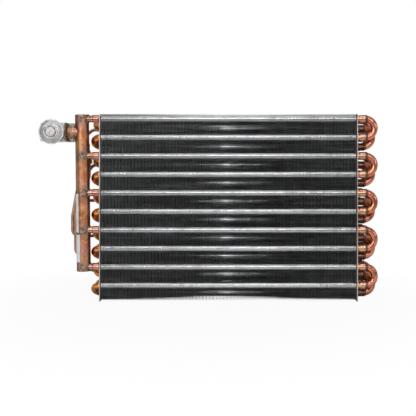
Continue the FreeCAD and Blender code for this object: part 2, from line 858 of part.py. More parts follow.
def distributor():
    """The cone that shares the liquid between the capillaries, mouth upwards."""
    wide = "inlet_length + distributor_cone"
    socket = "tube_radius + braze_gap"
    body = turned_piece("distributor_blank", [
        ("inlet_length - braze_gap", "0"), ("inlet_length - braze_gap", socket),
        ("0", socket), ("0", "distributor_inlet"), ("inlet_length", "distributor_inlet"),
        (wide, "distributor_radius"), ("distributor_length", "distributor_radius"),
        ("distributor_length", "0"),
    ])
    place(body, "-distributor_offset", "liquid_depth", "distributor_top",
          Rotation(Vector(0, 1, 0), 90))
    depth = "capillary_insertion + braze_gap"
    tools = [rod("mixing_hole", "z", "mixing_bore",
                 "distributor_length - inlet_length", "-distributor_offset", "liquid_depth",
                 "distributor_bottom + %s" % depth)]
    for number in range(1, 6):
        x, y = capillary_outlet(number)
        tools.append(rod("outlet_hole_%d" % number, "z", "capillary_radius + braze_gap",
                         depth, x, y, "distributor_bottom"))
    keep(cut("distributor", body, tools), "distributor")


OUTLET_ANGLES = {1: 108, 2: 36, 3: 324, 4: 180, 5: 252}


def capillary_outlet(number):
    angle = OUTLET_ANGLES[number]
    x = "(-distributor_offset + capillary_ring * cos(%d))" % angle
    y = "(liquid_depth + capillary_ring * sin(%d))" % angle
    return x, y


def capillaries():
    """Each capillary leaves the distributor downwards and enters its liquid tube.

    Its straights are counted in lead-ins, the length that it runs on before a bend.
    """
    waypoints = {
        1: lambda x, y, inlet: [
            at(x, y, "distributor_bottom - 1.5 * lead_in"),
            at("-riser_offset", "riser_depth", "distributor_bottom - 2 * lead_in"),
            at("-riser_offset", "riser_depth", inlet + " - lead_in"),
        ],
        2: lambda x, y, inlet: [
            at(x, y, "distributor_bottom - 1.5 * lead_in"),
            at("-distributor_offset", "last_column", "distributor_bottom - 2 * lead_in"),
            at("mouth_x - 1.2 * lead_in", "last_column", inlet + " - lead_in"),
        ],
        3: lambda x, y, inlet: [
            at(x, y, inlet + " + 2 * lead_in"),
            at("-distributor_offset", "liquid_depth + lead_in", inlet),
        ],
        4: lambda x, y, inlet: [
            at(x, y, "distributor_bottom - 0.7 * lead_in"),
            at("-outer_loop_offset", "outer_loop_depth", inlet + " + 2.5 * lead_in"),
            at("-outer_loop_offset", "outer_loop_depth", inlet + " + lead_in / 3"),
            at("-header_offset", "liquid_depth + lead_in", inlet),
        ],
        5: lambda x, y, inlet: [
            at(x, y, "distributor_bottom - lead_in"),
            at("-inner_loop_offset", "inner_loop_depth", "inner_loop_bottom + 5 * lead_in"),
            at("-inner_loop_offset", "inner_loop_depth", "inner_loop_bottom"),
            at("-header_offset", "liquid_depth", "inner_loop_bottom - lead_in / 2"),
            at("-header_offset", "last_column - lead_in / 3", inlet + " + lead_in / 2"),
        ],
    }
    for number in range(1, 6):
        x, y = capillary_outlet(number)
        inlet = "(%s)" % row_height(2 * number - 0.5)
        points = [at(x, y, "distributor_bottom + capillary_insertion")]
        points += waypoints[number](x, y, inlet)
        points.append(at("mouth_x - lead_in / 2", "last_column", inlet))
        points.append(at("mouth_x + capillary_insertion", "last_column", inlet))
        swept_tube("capillary_%d" % number, points, value("capillary_bend"),
                   value("capillary_radius"), value("capillary_radius - capillary_wall"))


def liquid_pipe():
    points = [
        at("block_right - spigot", "liquid_depth", "valve_height"),
        at("-distributor_offset", "liquid_depth", "valve_height"),
        at("-distributor_offset", "liquid_depth", "distributor_top - inlet_length + 2 * braze_gap"),
    ]
    swept_tube("liquid_pipe", points, value("liquid_bend"), value("tube_radius"),
               value("tube_radius - liquid_pipe_wall"))


fin_pack()
end_plate("end_plate_left", "plate_thickness / 2")
end_plate("end_plate_right", "overall_width - plate_thickness / 2")
circuits()
header()
header_stubs()
label("label_upper", "upper_label_angle", "upper_label_bottom", "upper_label_length")
label("label_lower", "lower_label_angle", "lower_label_bottom", "lower_label_length")
valve_block()
metering_cartridge()
power_head()
pipe_rings()
flange_and_clamp()
suction_pipe()
distributor()
capillaries()
liquid_pipe()
doc.recompute()

for item in doc.Objects:
    if "Invalid" in item.State or "Error" in item.State:
        raise ValueError("%s did not build: %s" % (item.Name, item.State))
for item in pieces:
    if item.Shape.isNull() or not item.Shape.isValid() or not item.Shape.Solids:
        raise ValueError("%s has no valid shape" % item.Label)

os.makedirs("parts", exist_ok=True)
for item in pieces:
    item.Shape.exportStep("parts/%s.step" % item.Label)

whole = FreeCAD.BoundBox()
for item in pieces:
    whole.add(item.Shape.BoundBox)
print("%d nodes, box %.2f x %.2f x %.2f mm" % (
    len(pieces), whole.XLength, whole.YLength, whole.ZLength))
print("centre %.3f %.3f, foot %.3f" % (whole.Center.x, whole.Center.y, whole.ZMin))
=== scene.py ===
import math

import bpy
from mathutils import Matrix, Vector

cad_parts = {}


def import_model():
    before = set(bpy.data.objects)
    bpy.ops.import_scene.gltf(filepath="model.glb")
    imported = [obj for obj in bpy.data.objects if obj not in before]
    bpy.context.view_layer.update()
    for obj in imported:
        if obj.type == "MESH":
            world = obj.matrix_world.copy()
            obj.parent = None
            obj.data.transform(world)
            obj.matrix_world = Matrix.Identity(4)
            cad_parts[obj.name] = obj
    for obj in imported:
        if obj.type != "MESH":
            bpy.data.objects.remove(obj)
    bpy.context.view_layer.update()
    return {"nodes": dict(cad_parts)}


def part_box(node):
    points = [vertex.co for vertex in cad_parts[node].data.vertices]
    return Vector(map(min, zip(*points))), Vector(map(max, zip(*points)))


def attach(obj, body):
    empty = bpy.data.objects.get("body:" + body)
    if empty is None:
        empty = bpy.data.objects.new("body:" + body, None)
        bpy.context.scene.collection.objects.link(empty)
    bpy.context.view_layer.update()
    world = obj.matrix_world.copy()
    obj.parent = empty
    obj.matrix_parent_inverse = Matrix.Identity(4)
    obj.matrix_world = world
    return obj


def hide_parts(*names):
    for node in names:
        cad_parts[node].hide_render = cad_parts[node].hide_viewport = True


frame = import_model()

# Driving sizes, in metres. Places come from the frame.

MM = 0.001
TUBE_RADIUS = 9.525 / 2 * MM
ROW_PITCH = 25.4 * MM
COLUMN_PITCH = 15.875 * MM
ROWS = 10
CIRCUITS = ROWS // 2
COLUMNS = 4
HEADER_SLOPE = math.tan(math.radians(0.71))

# The fins' corrugation is flatter in front, where the second column of tubes shows between them.
FIN_COUNT = 180
FIN_SHEET = 0.15 * MM
FIN_HALF_WAVES = 8
FIN_HEIGHT_STEPS = 32
FIN_WAVE = 0.26 * MM
REAR_WAVE = 0.62 * MM
FIN_REACH = FIN_WAVE + REAR_WAVE
FIN_BEND = 0.50 * MM
MERGE_DISTANCE = 0.01 * MM

# Some fins near the left end plate were bent more, by handling.
HANDLED_FIN = 7.5 * MM
HANDLED_WIDTH = 2.2 * MM
HANDLED_GAIN = 1.6

COLLAR_WALL = 0.25 * MM
COLLAR_SIDES = 14
COLLAR_FLARE = 0.035
COLLAR_SPREAD = 2.74
SLEEVE_SIDES = 20

# Beads of brazing alloy: steps round the joint and round the bead, and the lumps in it.
JOINT_STEPS = 28
BEAD_STEPS = 8
LUMP_SCALE = 420.0

pack_low, pack_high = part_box("fin_pack")
header_low, header_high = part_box("suction_header")
head_low, head_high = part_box("power_head")
first_tube_low, first_tube_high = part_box("suction_tube_1")

PACK_SIZE = pack_high - pack_low
PACK_CENTRE = (pack_low + pack_high) / 2
FRONT_ROW_TOP = pack_high.z - ROW_PITCH / 4
FIRST_COLUMN_Y = pack_low.y + COLUMN_PITCH / 2
PLATE_FACE_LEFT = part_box("end_plate_left")[0].x
PLATE_FACE_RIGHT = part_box("end_plate_right")[1].x
HEADER_CENTRE = (header_low + header_high) / 2
HEADER_RADIUS = (header_high.y - header_low.y) / 2
HEAD_CENTRE = (head_low + head_high) / 2
BELL_MOUTH_X = first_tube_high.x
STUB_BELL_X = first_tube_low.x


def row_z(row, column):
    """Height of a tube. Every second column is half a row lower."""
    return FRONT_ROW_TOP - (row - 1) * ROW_PITCH - (column - 1) % 2 * ROW_PITCH / 2


def column_y(column):
    """Depth of a column of tubes. Column 1 is the front one."""
    return FIRST_COLUMN_Y + (column - 1) * COLUMN_PITCH


def header_x(z):
    """Where the header's axis is at a height. It leans a little to the left at its top."""
    return HEADER_CENTRE.x - (z - HEADER_CENTRE.z) * HEADER_SLOPE


def paint(red, green, blue):
    """A colour written as it looks on a screen, from 0 to 255, as the shaders take it."""
    shares = (red / 255, green / 255, blue / 255)
    return tuple(c / 12.92 if c < 0.04 else ((c + 0.055) / 1.055) ** 2.4 for c in shares)


class Wire:
    """A socket in a node tree. Arithmetic on it adds Math nodes."""

    def __init__(self, graph, socket):
        self.graph = graph
        self.socket = socket

    def calculate(self, operation, *values):
        return self.graph.node("ShaderNodeMath", {"operation": operation}, dict(enumerate(values)))

    def __add__(self, other):
        return self.calculate("ADD", self, other)

    def __sub__(self, other):
        return self.calculate("SUBTRACT", self, other)

    def __mul__(self, other):
        return self.calculate("MULTIPLY", self, other)

    def __truediv__(self, other):
        return self.calculate("DIVIDE", self, other)

    def __rsub__(self, other):
        return self.calculate("SUBTRACT", other, self)

    def __pow__(self, other):
        return self.calculate("POWER", self, other)

    __radd__ = __add__
    __rmul__ = __mul__

    def size(self):
        return self.calculate("ABSOLUTE", self)

    def root(self):
        return self.calculate("SQRT", self)

    def between(self, low, high):
        """0 below low, 1 above high, and smooth between them."""
        return self.graph.node(
            "ShaderNodeMapRange", {"interpolation_type": "SMOOTHSTEP"},
            {"Value": self, "From Min": low, "From Max": high},
        )


class Graph:
    """A node tree, to which one method adds any node."""

    def __init__(self, tree):
        self.tree = tree

    def node(self, kind, settings=None, inputs=None, output=0):
        made = self.tree.nodes.new(kind)
        for name, value in (settings or {}).items():
            setattr(made, name, value)
        for key, value in (inputs or {}).items():
            self.feed(self.find(made.inputs, key), value)
        return Wire(self, self.find(made.outputs, output))

    def find(self, sockets, key):
        """An enabled socket, by its name, its identifier or its place in the list."""
        if isinstance(key, int):
            return [s for s in sockets if s.enabled][key]
        return next(s for s in sockets if s.enabled and key in (s.name, s.identifier))

    def feed(self, socket, value):
        """Link a socket to one wire or to several, or give it a constant."""
        if isinstance(value, (list, tuple)) and value and isinstance(value[0], Wire):
            for part in value:
                self.tree.links.new(part.socket, socket)
        elif isinstance(value, Wire):
            self.tree.links.new(value.socket, socket)
        elif socket.type == "RGBA" and len(value) == 3:
            socket.default_value = (*value, 1)
        else:
            socket.default_value = value

    def part(self, vector, axis):
        return self.node("ShaderNodeSeparateXYZ", None, {0: vector}, axis)

    def point(self, x, y, z):
        return self.node("ShaderNodeCombineXYZ", None, {"X": x, "Y": y, "Z": z})

    def ray(self, kind):
        """1 for a kind of ray, such as Is Camera Ray."""
        return self.node("ShaderNodeLightPath", output=kind)


class Finish(Graph):
    """A material under construction."""

    def __init__(self, name):
        self.material = bpy.data.materials.new(name)
        self.material.use_nodes = True
        super().__init__(self.material.node_tree)
        self.tree.nodes.clear()
        self.place = self.node("ShaderNodeTexCoord", output="Object")

    def along(self, axis):
        return self.part(self.place, axis)

    def stretched(self, scale):
        return self.node("ShaderNodeMapping", None, {"Vector": self.place, "Scale": scale})

    def noise(self, scale, detail=3, roughness=0.55, place=None):
        return self.node(
            "ShaderNodeTexNoise", None,
            {"Vector": place or self.place, "Scale": scale, "Detail": detail, "Roughness": roughness},
            "Fac",
        )

    def mix(self, low, high, factor):
        return self.node(
            "ShaderNodeMix", {"data_type": "RGBA"}, {"A": low, "B": high, "Factor": factor}, "Result"
        )

    def bump(self, height, strength, distance):
        inputs = {"Height": height, "Strength": strength, "Distance": distance}
        return self.node("ShaderNodeBump", None, inputs)

    def close(self, colour, roughness, normal, metallic=0.0):
        """End the material in one shader and hand it over."""
        self.end(self.node("ShaderNodeBsdfPrincipled", None, {
            "Base Color": colour, "Roughness": roughness, "Normal": normal, "Metallic": metallic,
        }))
        return self.material

    def end(self, shader):
        output = self.tree.nodes.new("ShaderNodeOutputMaterial")
        self.tree.links.new(shader.socket, output.inputs["Surface"])


class Recipe(Graph):
    """A Geometry Nodes tree with named sizes, which turns into a plain mesh."""

    def __init__(self, name, **sizes):
        super().__init__(bpy.data.node_groups.new(name, "GeometryNodeTree"))
        self.name = name
        self.sizes = sizes
        kinds = {int: "NodeSocketInt", float: "NodeSocketFloat"}
        for label, value in sizes.items():
            self.tree.interface.new_socket(label, in_out="INPUT", socket_type=kinds[type(value)])
        self.tree.interface.new_socket("Geometry", in_out="OUTPUT", socket_type="NodeSocketGeometry")
        self.entry = self.tree.nodes.new("NodeGroupInput")

    def size(self, label):
        return Wire(self, self.entry.outputs[label])

    def position(self):
        place = self.node("GeometryNodeInputPosition")
        return [self.part(place, axis) for axis in "XYZ"]

    def moved(self, geometry, x, y, z):
        return self.node(
            "GeometryNodeSetPosition", None, {"Geometry": geometry, "Position": self.point(x, y, z)}
        )

    def line(self, count, start, step):
        return self.node("GeometryNodeMeshLine", None, {
            "Count": count, "Start Location": self.point(*start), "Offset": self.point(*step),
        })

    def repeated(self, points, shape):
        return self.node("GeometryNodeInstanceOnPoints", None, {"Points": points, "Instance": shape})

    def joined(self, parts):
        return self.node("GeometryNodeJoinGeometry", None, {"Geometry": parts})

    def realized(self, geometry):
        return self.node("GeometryNodeRealizeInstances", None, {"Geometry": geometry})

    def smooth(self, geometry, smooth=True, where=True):
        return self.node("GeometryNodeSetShadeSmooth", None, {
            "Geometry": geometry, "Selection": where, "Shade Smooth": smooth,
        })

    def rounded(self, tube):
        """Smooth sides and flat ends on a tube that runs along X."""
        facing_x = self.part(self.node("GeometryNodeInputNormal"), "X").size().between(0.90, 0.98)
        return self.smooth(self.smooth(tube), False, facing_x)

    def plain_mesh(self, geometry, material):
        """The tree's result as an object with a plain mesh and no modifier."""
        painted = self.node(
            "GeometryNodeSetMaterial", None, {"Geometry": self.realized(geometry), "Material": material}
        )
        output = self.tree.nodes.new("NodeGroupOutput")
        self.tree.links.new(painted.socket, output.inputs["Geometry"])
        maker = new_object(self.name + "_maker", bpy.data.meshes.new(self.name + "_seed"))
        modifier = maker.modifiers.new("recipe", "NODES")
        modifier.node_group = self.tree
        for item in self.tree.interface.items_tree:
            if item.in_out == "INPUT":
                modifier[item.identifier] = self.sizes[item.name]
        ready = maker.evaluated_get(bpy.context.evaluated_depsgraph_get())
        mesh = bpy.data.meshes.new_from_object(ready)
        bpy.data.objects.remove(maker)
        mesh.name = self.name
        return new_object(self.name, mesh)


def new_object(name, data):
    made = bpy.data.objects.new(name, data)
    bpy.context.scene.collection.objects.link(made)
    return made


def fit(piece, slot, *nodes):
    """Fix a finished piece to the part, in place of the CAD nodes named."""
    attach(piece, "root")
    if nodes:
        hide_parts(*nodes)


def dress(material, *nodes):
    """Give CAD nodes their finish."""
    for node in nodes:
        mesh = frame["nodes"][node].data
        mesh.materials.clear()
        mesh.materials.append(material)


# Finishes. Colours are what the metal looks like on a screen; noise scales are per metre.

SALMON = paint(222, 140, 116)
PINK = paint(192, 140, 130)
GOLD = paint(238, 176, 112)
TAN = paint(206, 164, 134)
ORANGE = paint(244, 168, 100)
BROWN = paint(164, 92, 66)
UMBER = paint(108, 72, 56)
# The soot colour is burnt film and flux on joints, and also painted shade on the rear bells.
SOOT_AND_SHADE = paint(58, 34, 28)
ALLOY = paint(150, 128, 108)
BRASS = paint(206, 176, 122)
DULL_BRASS = paint(160, 128, 84)


def fin_aluminium():
    """The fins: dull film, fine streaks and specks, paler along the cut edges, dark on their rims."""
    finish = Finish("fin_aluminium")
    film = finish.noise(90, 4)
    streaks = finish.noise(1, 4, 0.7, finish.stretched((9, 60, 620)))
    specks = finish.noise(1400, 2).between(0.58, 0.72)
    colour = finish.mix(paint(206, 208, 210), paint(150, 152, 152), film.between(0.35, 0.75))
    colour = finish.mix(colour, paint(104, 104, 102), streaks.between(0.42, 0.60) * 0.8)
    colour = finish.mix(colour, paint(92, 90, 86), specks * 0.4)
    from_edge = PACK_SIZE.y / 2 - (finish.along("Y") - PACK_CENTRE.y).size()
    cut = from_edge.between(0.9 * MM, 0.3 * MM)
    colour = finish.mix(colour, paint(176, 177, 178), cut * 0.5)
    rim = from_edge.between(FIN_SHEET * 0.80, FIN_SHEET * 0.60)
    level = finish.point(finish.along("X") * 9.0, 0.0, finish.along("Z") * 420.0)
    levels = finish.noise(1.0, 3, 0.5, level).between(0.42, 0.66)
    colour = finish.mix(colour, paint(66, 67, 69), rim * (0.68 - levels * 0.60))
    roughness = 0.12 + film * 0.10 + cut * 0.25
    normal = finish.bump(finish.noise(900, 3), 0.12, 0.2 * MM)
    return finish.close(colour, roughness, normal, metallic=0.68 - cut * 0.2)


def collar_aluminium():
    """The collars between the fins: bright rolled metal with wear that runs round them."""
    finish = Finish("collar_aluminium")
    film = finish.noise(40, 3)
    wear = finish.noise(1, 3, 0.6, finish.stretched((60, 900, 900)))
    colour = finish.mix(paint(232, 233, 235), paint(208, 209, 209), film.between(0.4, 0.8))
    colour = finish.mix(colour, paint(170, 168, 165), wear.between(0.5, 0.75) * 0.5)
    normal = finish.bump(wear, 0.1, 0.1 * MM)
    return finish.close(colour, 0.12 + wear * 0.08, normal, metallic=1.0)


def plate_aluminium():
    """The end plates: rolling marks along their depth, under a brown stain."""
    finish = Finish("plate_aluminium")
    rolled = finish.noise(260, 4, place=finish.stretched((1, 0.08, 1)))
    stain = finish.noise(28, 4)
    colour = finish.mix(paint(188, 184, 178), paint(158, 150, 144), stain.between(0.4, 0.7))
    colour = finish.mix(colour, paint(128, 112, 102), rolled.between(0.62, 0.85) * 0.5)
    normal = finish.bump(rolled, 0.18, 0.3 * MM)
    return finish.close(colour, 0.36 + rolled * 0.2, normal, metallic=0.9)


def tube_copper(name, fresh, dull, burnt=SOOT_AND_SHADE, gloss=0.13, belled=False, left=None):
    """Copper tube with brown tarnish in patches and a burnt film where it was brazed.

    A belled tube has a paler bell at its right end, darkened with painted shade in the rear
    columns. left is the colour towards the left end plate, where it differs.
    """
    finish = Finish(name)
    patches = finish.noise(75, 5, 0.6)
    fine = finish.noise(520, 4, 0.6)
    warm = finish.noise(130, 3)
    colour = finish.mix(fresh, GOLD, warm.between(0.50, 0.66) * 0.6)
    if left:
        colour = finish.mix(colour, left, finish.along("X").between(0.0, PLATE_FACE_LEFT))
    colour = finish.mix(colour, dull, patches.between(0.42, 0.75))
    colour = finish.mix(colour, burnt, fine.between(0.54, 0.76) * 0.5)
    roughness = gloss + patches * 0.10 + fine * 0.10
    if belled:
        x = finish.along("X")
        bell = x.between(BELL_MOUTH_X + 0.8 * MM, BELL_MOUTH_X - 0.2 * MM)
        bell = bell * x.between(PLATE_FACE_RIGHT - 1.0 * MM, PLATE_FACE_RIGHT)
        colour = finish.mix(colour, TAN, bell * (0.45 + warm * 0.5))
        # Painted shade: the bells of the rear columns, behind the front tubes, are darkened to the soot
        # colour.
        rear_bell_shade = bell * finish.along("Y").between(-13.5 * MM, -6.5 * MM)
        colour = finish.mix(colour, SOOT_AND_SHADE, rear_bell_shade * 0.75)
        heat = (x - BELL_MOUTH_X).size().between(4.2 * MM, 0.4 * MM)
        film = heat * (0.35 + finish.noise(190, 3) * 1.1)
        colour = finish.mix(colour, burnt, film.between(0.2, 0.95) * 0.85)
        roughness = roughness + film * 0.15
    normal = finish.bump(fine, 0.12, 0.2 * MM)
    return finish.close(colour, roughness, normal, metallic=1.0)


def header_copper():
    """The header's copper: brown, with a burnt ring and grey alloy round every stub, and painted shade
    down both sides.
    """
    finish = Finish("copper_header")
    patches = finish.noise(60, 5, 0.6)
    fine = finish.noise(480, 4, 0.62)
    x, z = finish.along("X"), finish.along("Z")
    right = x + z * HEADER_SLOPE - (HEADER_CENTRE.x + HEADER_CENTRE.z * HEADER_SLOPE)
    drop = z - row_z(1, 1)
    from_stub = drop.calculate("WRAP", drop, ROW_PITCH, -ROW_PITCH).size()
    ragged = (finish.noise(170, 5, 0.65) - 0.5) * 9.0 * MM
    alloy = (from_stub + ragged).between(6.4 * MM, 4.8 * MM)
    alloy = alloy * (right + ragged).between(-6.0 * MM, -3.5 * MM)
    burnt = (from_stub + ragged * 2.0).between(15.0 * MM, 5.5 * MM)
    colour = finish.mix(paint(220, 164, 122), paint(182, 116, 80), patches.between(0.40, 0.62))
    colour = finish.mix(colour, paint(204, 150, 142), finish.noise(48, 3).between(0.50, 0.62) * 0.75)
    colour = finish.mix(colour, paint(120, 70, 48), finish.noise(110, 4).between(0.56, 0.70) * 0.5)
    colour = finish.mix(colour, UMBER, fine.between(0.5, 0.8) * 0.5)
    colour = finish.mix(colour, paint(140, 108, 88), burnt * 0.5)
    # Painted shade: the header is darkened to a deep brown towards both of its outlines.
    side_shade = right.size() + ragged * 0.4
    colour = finish.mix(colour, paint(112, 58, 36), side_shade.between(6.0 * MM, 9.2 * MM) * 0.8)
    dross = finish.noise(260, 4, 0.6).between(0.4, 0.62)
    colour = finish.mix(colour, finish.mix(paint(178, 152, 134), paint(98, 78, 66), dross), alloy * 0.85)
    roughness = 0.30 + patches * 0.14 + fine * 0.12 + alloy * 0.12
    normal = finish.bump(fine, 0.35, 0.4 * MM)
    return finish.close(colour, roughness, normal, metallic=1.0)


def braze_alloy():
    """The beads of alloy, dull and partly black with burnt flux."""
    finish = Finish("braze_alloy")
    lumps = finish.noise(420, 4, 0.6)
    flux = finish.noise(900, 3, 0.6)
    colour = finish.mix(ALLOY, paint(112, 84, 66), lumps.between(0.4, 0.65))
    colour = finish.mix(colour, SOOT_AND_SHADE, flux.between(0.50, 0.70) * 0.75)
    return finish.close(colour, 0.30 + lumps * 0.25, finish.bump(lumps, 0.6, 0.5 * MM), metallic=1.0)


def bare_metal(name, bright, dark, gloss=0.3, metallic=0.95):
    """Turned or milled metal with a thin film in patches."""
    finish = Finish(name)
    film = finish.noise(120, 4)
    grain = finish.noise(900, 3)
    colour = finish.mix(bright, dark, film.between(0.4, 0.75) * 0.8)
    colour = finish.mix(colour, dark, grain.between(0.6, 0.8) * 0.4)
    normal = finish.bump(grain, 0.2, 0.2 * MM)
    return finish.close(colour, gloss + film * 0.2, normal, metallic=metallic)


def spun_steel():
    """The power head: turned rings round its axis under a thin grey film."""
    finish = Finish("head_steel")
    x, z = finish.along("X") - HEAD_CENTRE.x, finish.along("Z") - HEAD_CENTRE.z
    radius = (x * x + z * z).root()
    rings = finish.node("ShaderNodeTexNoise", {"noise_dimensions": "1D"}, {
        "W": radius, "Scale": 2600.0, "Detail": 2.0,
    }, "Fac")
    film = finish.noise(140, 4)
    colour = finish.mix(paint(202, 201, 200), paint(168, 167, 166), film.between(0.4, 0.7))
    colour = finish.mix(colour, paint(128, 127, 126), rings.between(0.5, 0.8) * 0.5)
    return finish.close(colour, 0.40 + film * 0.12, finish.bump(rings, 0.12, 0.2 * MM), metallic=0.6)


def sealing_rubber():
    """The sealing rings: dark green rubber with a pale bloom."""
    finish = Finish("sealing_rubber")
    bloom = finish.noise(300, 3)
    colour = finish.mix(paint(38, 62, 52), paint(62, 84, 74), bloom)
    return finish.close(colour, 0.45 + bloom * 0.2, finish.bump(bloom, 0.2, 0.2 * MM))


def blank_label():
    """The paper labels: off-white, soiled and creased."""
    finish = Finish("blank_label")
    creases = finish.noise(160, 4, place=finish.stretched((1, 1, 0.35)))
    soil = finish.noise(60, 5)
    colour = finish.mix(paint(236, 236, 236), paint(212, 208, 204), soil.between(0.45, 0.75))
    colour = finish.mix(colour, paint(176, 170, 166), creases.between(0.6, 0.78) * 0.5)
    return finish.close(colour, 0.42 + soil * 0.2, finish.bump(creases, 0.5, 0.4 * MM))


# Fins, collars and brazing alloy

def fin_sheets(name, first, count):
    """A run of fins: thin corrugated sheets, each bent a little along its free edges."""
    pitch = (PACK_SIZE.x - 2 * FIN_REACH) / (FIN_COUNT - 1)
    recipe = Recipe(
        name, Start=pack_low.x + FIN_REACH + first * pitch, Pitch=pitch, Count=count,
        Front=pack_low.y + FIN_SHEET / 2, Depth=PACK_SIZE.y - FIN_SHEET,
        Foot=pack_low.z + FIN_SHEET / 2, Height=PACK_SIZE.z - FIN_SHEET,
        Thickness=FIN_SHEET, Wave=FIN_WAVE, RearWave=REAR_WAVE, Bend=FIN_BEND,
        HalfWaves=FIN_HALF_WAVES, HeightSteps=FIN_HEIGHT_STEPS,
        Handled=PLATE_FACE_LEFT + HANDLED_FIN,
    )
    size = recipe.size
    sheet = recipe.node("GeometryNodeMeshGrid", None, {
        "Size X": size("Depth"), "Size Y": size("Height"),
        "Vertices X": size("HalfWaves") + 1, "Vertices Y": size("HeightSteps") + 1,
    })
    across, up, _ = recipe.position()
    sheet = recipe.moved(
        sheet, 0.0, across + size("Depth") / 2 + size("Front"), up + size("Height") / 2 + size("Foot")
    )
    places = recipe.line(size("Count"), (size("Start"), 0.0, 0.0), (size("Pitch"), 0.0, 0.0))
    sheets = recipe.realized(recipe.repeated(places, sheet))
    x, y, z = recipe.position()
    inward = y - size("Front")
    half_wave = size("Depth") / size("HalfWaves")
    fold = inward.calculate("PINGPONG", inward, half_wave) / half_wave * 2.0 - 1.0
    edge = (inward / size("Depth") * 2.0 - 1.0).size() ** 3.0
    bending = recipe.node("ShaderNodeTexNoise", None, {
        "Vector": recipe.point(x * 900.0, y * 20.0, z * 150.0), "Scale": 1.0, "Detail": 1.0,
    })
    handled = 1.0 + (x - size("Handled")).size().between(HANDLED_WIDTH, 0.0) * HANDLED_GAIN
    bend = (bending - 0.5) * 2.0 * size("Bend") * edge * handled
    rear = inward.between(size("Depth") * 0.38, size("Depth") * 0.55)
    wave = size("Wave") + size("RearWave") * rear
    sheets = recipe.moved(sheets, x + fold * wave + bend, y, z)
    thick = recipe.node("GeometryNodeExtrudeMesh", None, {
        "Mesh": sheets, "Offset Scale": size("Thickness"), "Individual": False,
    })
    back = recipe.node("GeometryNodeFlipFaces", None, {"Mesh": sheets})
    closed = recipe.node("GeometryNodeMergeByDistance", None, {
        "Geometry": recipe.joined([thick, back]), "Distance": MERGE_DISTANCE,
    })
    return recipe.plain_mesh(recipe.smooth(closed, False), FIN_METAL)


def fin_collars(name, column):
    """The flared collars that stand between the fins round one column of tubes."""
    recipe = Recipe(
        name, Pitch=(PACK_SIZE.x - 2 * FIN_WAVE) / (FIN_COUNT - 1), Gaps=FIN_COUNT - 1,
        Rows=ROWS, RowPitch=ROW_PITCH, Radius=TUBE_RADIUS + COLLAR_WALL, Flare=COLLAR_FLARE,
        Sides=COLLAR_SIDES, Middle=PACK_CENTRE.x, Depth=column_y(column),
        MiddleRow=(row_z(1, column) + row_z(ROWS, column)) / 2,
    )
    size = recipe.size
    collar = recipe.node("GeometryNodeMeshCylinder", {"fill_type": "NGON"}, {
        "Vertices": size("Sides"), "Side Segments": 3, "Radius": size("Radius"),
        "Depth": size("Pitch"),
    })
    a, b, along = recipe.position()
    share = (along / size("Pitch")).size()
    flare = 1.0 + share.between(0.17, 0.5) * size("Flare")
    # The two inner rings move apart, so that only the collar's ends flare. Its ends stay.
    spread = COLLAR_SPREAD - share * (2 * (COLLAR_SPREAD - 1))
    collar = recipe.rounded(recipe.moved(collar, along * spread, a * flare, b * flare))
    places = recipe.node("GeometryNodeMeshGrid", None, {
        "Size X": size("Pitch") * (size("Gaps") - 1), "Size Y": size("RowPitch") * (size("Rows") - 1),
        "Vertices X": size("Gaps"), "Vertices Y": size("Rows"),
    })
    x, y, _ = recipe.position()
    places = recipe.moved(places, x + size("Middle"), size("Depth"), y + size("MiddleRow"))
    return recipe.plain_mesh(recipe.repeated(places, collar), COLLAR_METAL)


def inner_sleeves():
    """The joined collars of the two hidden columns, as one sleeve round each tube."""
    recipe = Recipe(
        "fin_sleeves_inner", Length=PACK_SIZE.x - 2 * FIN_WAVE, Sides=SLEEVE_SIDES, Rows=ROWS,
        RowPitch=ROW_PITCH, ColumnPitch=COLUMN_PITCH, Radius=TUBE_RADIUS + COLLAR_WALL,
        Middle=PACK_CENTRE.x, Depth=column_y(2), Top=row_z(1, 2),
    )
    size = recipe.size
    sleeve = recipe.node("GeometryNodeMeshCylinder", {"fill_type": "NGON"}, {
        "Vertices": size("Sides"), "Radius": size("Radius"), "Depth": size("Length"),
    })
    a, b, along = recipe.position()
    sleeve = recipe.rounded(recipe.moved(sleeve, along, a, b))
    down = (0.0, 0.0, 0.0 - size("RowPitch"))
    second = (size("Middle"), size("Depth"), size("Top"))
    third = (size("Middle"), size("Depth") + size("ColumnPitch"), size("Top") + size("RowPitch") / 2)
    columns = [
        recipe.repeated(recipe.line(size("Rows"), start, down), sleeve) for start in (second, third)
    ]
    return recipe.plain_mesh(recipe.joined(columns), COLLAR_METAL)


def braze_ring(recipe, saddle=False):
    """A bead of alloy round a tube along X, laid on the header where it is a saddle."""
    size = recipe.size
    ring = recipe.node("GeometryNodeCurvePrimitiveCircle", None, {
        "Resolution": JOINT_STEPS, "Radius": size("Ring"),
    })
    a, b, _ = recipe.position()
    along = 0.0
    if saddle:
        across = a + size("Setback")
        along = (size("HeaderRadius") * size("HeaderRadius") - across * across).root()
    ring = recipe.moved(ring, along, a, b)
    section = recipe.node("GeometryNodeCurvePrimitiveCircle", None, {
        "Resolution": BEAD_STEPS, "Radius": size("Bead"),
    })
    bead = recipe.node("GeometryNodeCurveToMesh", None, {"Curve": ring, "Profile Curve": section})
    return recipe.smooth(bead)


def lumpy(recipe, geometry):
    """Swell and sink a bead by a noise in place, so that no two joints look alike."""
    normal = recipe.node("GeometryNodeInputNormal")
    lumps = recipe.node("ShaderNodeTexNoise", None, {
        "Vector": recipe.node("GeometryNodeInputPosition"), "Scale": LUMP_SCALE, "Detail": 2.0,
    })
    push = recipe.node("ShaderNodeVectorMath", {"operation": "SCALE"}, {
        0: normal, "Scale": (lumps - 0.5) * recipe.size("Lumps"),
    })
    return recipe.node("GeometryNodeSetPosition", None, {
        "Geometry": recipe.realized(geometry), "Offset": push,
    })


